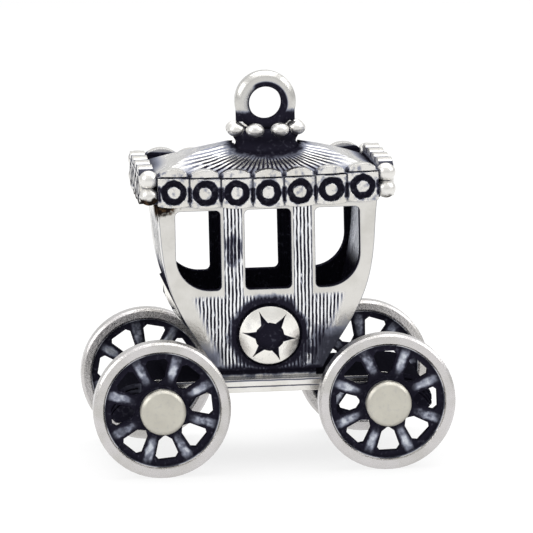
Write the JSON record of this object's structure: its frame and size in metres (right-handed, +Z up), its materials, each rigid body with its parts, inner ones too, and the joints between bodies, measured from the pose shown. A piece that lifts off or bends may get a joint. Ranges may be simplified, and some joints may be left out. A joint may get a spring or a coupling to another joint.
{
  "type": "coach charm",
  "caption": "Small silver charm in the form of a royal coach: hollow windowed cab, ringed parapet roof, star rosettes, spoked wheels that turn on riveted axles, and a hanging ring on top.",
  "frame": {"origin": "on the ground, under the middle of the coach", "axes": "+X along the coach towards the end taken as its front, +Y across to the far side, +Z up"},
  "size_m": [0.0178, 0.0124, 0.0193],
  "materials": {
    "silver": "polished sterling silver with blackened recesses",
    "rivet_silver": "satin silver rivet"
  },
  "bodies": {
    "coach": {"bail": "silver", "bead_collar": "silver", "cab_floor": "silver", "chassis": "silver", "corner_far_front": "silver", "corner_far_rear": "silver", "corner_near_front": "silver", "corner_near_rear": "silver", "front_axle": "rivet_silver", "parapet_far": "silver", "parapet_front": "silver", "parapet_near": "silver", "parapet_rear": "silver", "rear_axle": "rivet_silver", "roof": "silver", "rosette_far": "silver", "rosette_front": "silver", "rosette_near": "silver", "rosette_rear": "silver", "wall_far": "silver", "wall_front": "silver", "wall_near": "silver", "wall_rear": "silver"},
    "wheel_front_far": {"wheel_front_far": "silver"},
    "wheel_front_near": {"wheel_front_near": "silver"},
    "wheel_rear_far": {"wheel_rear_far": "silver"},
    "wheel_rear_near": {"wheel_rear_near": "silver"}
  },
  "joints": [
    {"name": "wheel_front_far_spin", "type": "hinge", "parent": "coach", "child": "wheel_front_far", "pos_m": [0.00555, 0.005, 0.00338], "axis": [0, 1, 0], "continuous": true},
    {"name": "wheel_front_near_spin", "type": "hinge", "parent": "coach", "child": "wheel_front_near", "pos_m": [0.00555, -0.005, 0.00338], "axis": [0, 1, 0], "continuous": true},
    {"name": "wheel_rear_far_spin", "type": "hinge", "parent": "coach", "child": "wheel_rear_far", "pos_m": [-0.00555, 0.005, 0.00338], "axis": [0, 1, 0], "continuous": true},
    {"name": "wheel_rear_near_spin", "type": "hinge", "parent": "coach", "child": "wheel_rear_near", "pos_m": [-0.00555, -0.005, 0.00338], "axis": [0, 1, 0], "continuous": true}
  ]
}
